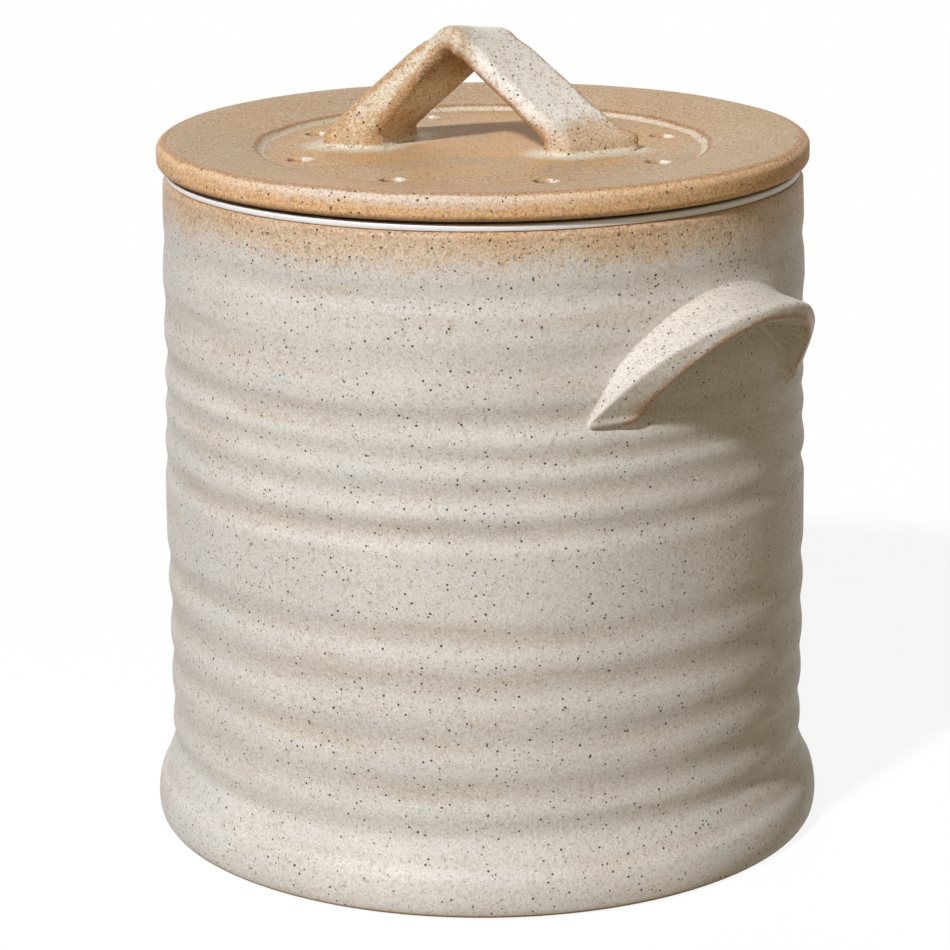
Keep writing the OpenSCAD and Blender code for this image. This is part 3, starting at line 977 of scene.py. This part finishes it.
def strap_glaze():
    """Cream glaze, more olive on the left leg, broken brown at the edges and feet, and brown on the
    inner face under the fold, partly thin glaze and partly painted shade.
    """
    finish = Finish("strap_speckled_glaze")
    cloud = finish.noise(70.0, 3.0, 0.65)
    oats = finish.noise(420.0, 3.0, 0.7)
    shift = finish.math("MULTIPLY_ADD", finish.noise(150.0, 4.0, 0.75), 1.7, -0.85)
    cream = finish.mix(finish.between(cloud, 0.35, 0.66), srgb(243, 238, 228), srgb(249, 247, 241))
    olive = finish.mix(finish.between(cloud, 0.35, 0.66), srgb(214, 196, 164), srgb(222, 212, 190))
    half_shift = finish.times(shift, 0.5)
    left = finish.between(finish.math("ADD", finish.stored("left"), half_shift), 0.1, 0.9)
    cream = finish.lay(cream, olive, left, 0.9)
    cream = finish.lay(cream, srgb(204, 182, 148), finish.between(oats, 0.54, 0.72), 0.45)
    edge = finish.between(finish.math("ADD", finish.stored("edge"), shift), 0.36, 0.82)
    colour = finish.lay(cream, srgb(196, 152, 100), edge, 0.9)
    # Brown on the inner face, strongest high under the fold: partly thin glaze, partly painted shade
    high = finish.between(finish.height(), 0.214, 0.227)
    under = finish.times(finish.stored("inner"), finish.math("MULTIPLY_ADD", high, 0.65, 0.15))
    under = finish.between(finish.math("ADD", under, half_shift), 0.15, 0.85)
    colour = finish.mix(under, colour, srgb(172, 138, 98))
    low = finish.between(finish.math("ADD", finish.stored("low"), shift), 0.22, 0.9)
    colour = finish.lay(colour, srgb(196, 157, 110), low, 0.78)
    foot = finish.math("MULTIPLY_ADD", shift, 0.4, finish.stored("foot"))
    colour = finish.lay(colour, srgb(222, 212, 188), finish.between(foot, 0.30, 0.85), 0.9)
    more = finish.speckle(760.0, 0.30, 0.75, offset=0.57)
    colour = finish.lay(colour, srgb(124, 86, 54), more, 0.5)
    grain = finish.math("MULTIPLY_ADD", left, 0.9, 1.2)
    colour, large = speckled(finish, colour, crowd=1.1, grain=grain)
    return stoneware_shade(finish, colour, large)


def moulded_plastic(name, colour, shine, grain_size):
    """Moulded plastic: a faint cloud in the colour and a fine moulded grain."""
    finish = Finish(name)
    cloud = finish.noise(40.0, 2.0)
    darker = tuple(c * 0.93 for c in colour)
    tone = finish.mix(finish.between(cloud, 0.3, 0.7), darker, colour)
    grain = finish.noise(2200.0, 2.0, 0.6)
    normal = finish.bump(grain, grain_size, 0.6, finish.bump(finish.noise(90.0, 2.0), 0.0002, 0.3))
    roughness = finish.math("MULTIPLY_ADD", finish.noise(300.0, 2.0), 0.12, shine)
    return finish.shade(colour=tone, roughness=roughness, normal=normal, specular=0.5)


def silicone():
    """Matte black rubber with a little dust."""
    finish = Finish("seal_silicone")
    dust = finish.between(finish.noise(700.0, 3.0, 0.6), 0.45, 0.75)
    tone = finish.mix(dust, (0.016, 0.016, 0.018), (0.034, 0.034, 0.036))
    normal = finish.bump(finish.noise(1800.0, 2.0), 0.00005, 0.6)
    roughness = finish.math("MULTIPLY_ADD", dust, 0.15, 0.55)
    return finish.shade(colour=tone, roughness=roughness, normal=normal, specular=0.4)


def charcoal_felt():
    """Open black felt, clumped and rough."""
    finish = Finish("charcoal_felt")
    fibre = finish.noise(1300.0, 5.0, 0.75, bend=2.5)
    clump = finish.noise(260.0, 3.0, 0.6)
    tone = finish.mix(finish.between(fibre, 0.35, 0.7), (0.012, 0.012, 0.013), (0.06, 0.06, 0.064))
    tone = finish.lay(tone, (0.02, 0.02, 0.022), clump, 0.4)
    normal = finish.bump(fibre, 0.0004, 0.9, finish.bump(clump, 0.0006, 0.6))
    return finish.shade(colour=tone, roughness=0.95, normal=normal, specular=0.2, sheen=0.15)


def give(node, material):
    """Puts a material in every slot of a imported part."""
    part = nodes[node]
    if not part.data.materials:
        part.data.materials.append(material)
    for i in range(len(part.data.materials)):
        part.data.materials[i] = material


# ---------------------------------------------------------------- floor, light and background

def white_when_seen(tree, share_socket):
    """Feeds a socket 1 for rays from the camera, off a gloss or through glass, and 0 for others."""
    path = tree.nodes.new("ShaderNodeLightPath")
    first = tree.nodes.new("ShaderNodeMath")
    first.operation = "MAXIMUM"
    second = tree.nodes.new("ShaderNodeMath")
    second.operation = "MAXIMUM"
    tree.links.new(path.outputs["Is Camera Ray"], first.inputs[0])
    tree.links.new(path.outputs["Is Glossy Ray"], first.inputs[1])
    tree.links.new(first.outputs[0], second.inputs[0])
    tree.links.new(path.outputs["Is Transmission Ray"], second.inputs[1])
    tree.links.new(second.outputs[0], share_socket)


WORLD_LIGHT = (0.34, 0.262, 0.140)
WORLD_LEVEL = 0.31
# Turn from the camera's side, rise and softness in degrees, strength and colour of the lamps
LAMPS = {
    "key_light": (-33, 41, 5, 3.1, (0.94, 0.955, 1.0)),
    "fill_light": (12, 25, 50, 0.33, (1.0, 0.91, 0.66)),
    "back_light": (180, 8, 40, 1.3, (1.0, 0.97, 0.92)),
}
# The floor throws back warm light, but is itself seen nearly white
FLOOR_BOUNCE = (0.23, 0.18, 0.11)
FLOOR_SHOWN = 0.13
FLOOR_GLOW = 0.89


def light_scene():
    """Lights the scene with a warm room that looks white and three soft lamps."""
    world = bpy.data.worlds.new("studio")
    bpy.context.scene.world = world
    world.use_nodes = True
    tree = world.node_tree
    tree.nodes.clear()
    dim = tree.nodes.new("ShaderNodeBackground")
    dim.inputs[0].default_value = (*WORLD_LIGHT, 1)
    dim.inputs[1].default_value = WORLD_LEVEL
    bright = tree.nodes.new("ShaderNodeBackground")
    bright.inputs[0].default_value = (1, 1, 1, 1)
    bright.inputs[1].default_value = 1.0
    blend = tree.nodes.new("ShaderNodeMixShader")
    out = tree.nodes.new("ShaderNodeOutputWorld")
    white_when_seen(tree, blend.inputs[0])
    tree.links.new(dim.outputs[0], blend.inputs[1])
    tree.links.new(bright.outputs[0], blend.inputs[2])
    tree.links.new(blend.outputs[0], out.inputs[0])

    for name, (turn, rise, soft, level, colour) in LAMPS.items():
        turn, rise = CAMERA_TURN + radians(turn - 90), radians(rise)
        way = Vector((cos(rise) * cos(turn), cos(rise) * sin(turn), sin(rise)))
        bpy.ops.object.light_add(type="SUN", location=way * 2)
        lamp = bpy.context.active_object
        lamp.name = name
        lamp.rotation_euler = (-way).to_track_quat("-Z", "Y").to_euler()
        lamp.data.angle = radians(soft)
        lamp.data.energy = level
        lamp.data.color = colour
        lamp.visible_glossy = name != "back_light"


def make_floor():
    """Lays the pale floor, which keeps the object's shadow."""
    deselect()
    bpy.ops.mesh.primitive_plane_add(size=14.0, location=(0, 0, -0.0002))
    floor = bpy.context.active_object
    floor.name = "floor"
    material = bpy.data.materials.new("pale_floor")
    material.use_nodes = True
    tree = material.node_tree
    tree.nodes.clear()
    bounce = tree.nodes.new("ShaderNodeBsdfDiffuse")
    bounce.inputs[0].default_value = (*FLOOR_BOUNCE, 1)
    shown = tree.nodes.new("ShaderNodeBsdfDiffuse")
    shown.inputs[0].default_value = (FLOOR_SHOWN, FLOOR_SHOWN, FLOOR_SHOWN, 1)
    glow = tree.nodes.new("ShaderNodeEmission")
    glow.inputs[0].default_value = (1, 1, 1, 1)
    glow.inputs[1].default_value = FLOOR_GLOW
    both = tree.nodes.new("ShaderNodeAddShader")
    blend = tree.nodes.new("ShaderNodeMixShader")
    out = tree.nodes.new("ShaderNodeOutputMaterial")
    white_when_seen(tree, blend.inputs[0])
    tree.links.new(shown.outputs[0], both.inputs[0])
    tree.links.new(glow.outputs[0], both.inputs[1])
    tree.links.new(bounce.outputs[0], blend.inputs[1])
    tree.links.new(both.outputs[0], blend.inputs[2])
    tree.links.new(blend.outputs[0], out.inputs[0])
    floor.data.materials.append(material)


# ---------------------------------------------------------------- the whole object

set_camera()
light_scene()
make_floor()
make_crock()
make_liner()
make_ear("ear_right", 1, "side_handle_right")
make_ear("ear_left", -1, "side_handle_left")
make_lid()
make_strap()
give("liner_bail", moulded_plastic("bail_plastic", (0.84, 0.86, 0.87), 0.38, 0.00003))
give("lid_seal", silicone())
filter_plastic = moulded_plastic("filter_plastic", (0.05, 0.05, 0.055), 0.5, 0.00005)
give("filter_holder", filter_plastic)
give("filter_cover", filter_plastic)
give("charcoal_pad", charcoal_felt())
deselect()

scene = bpy.context.scene
scene.view_settings.view_transform = "Standard"
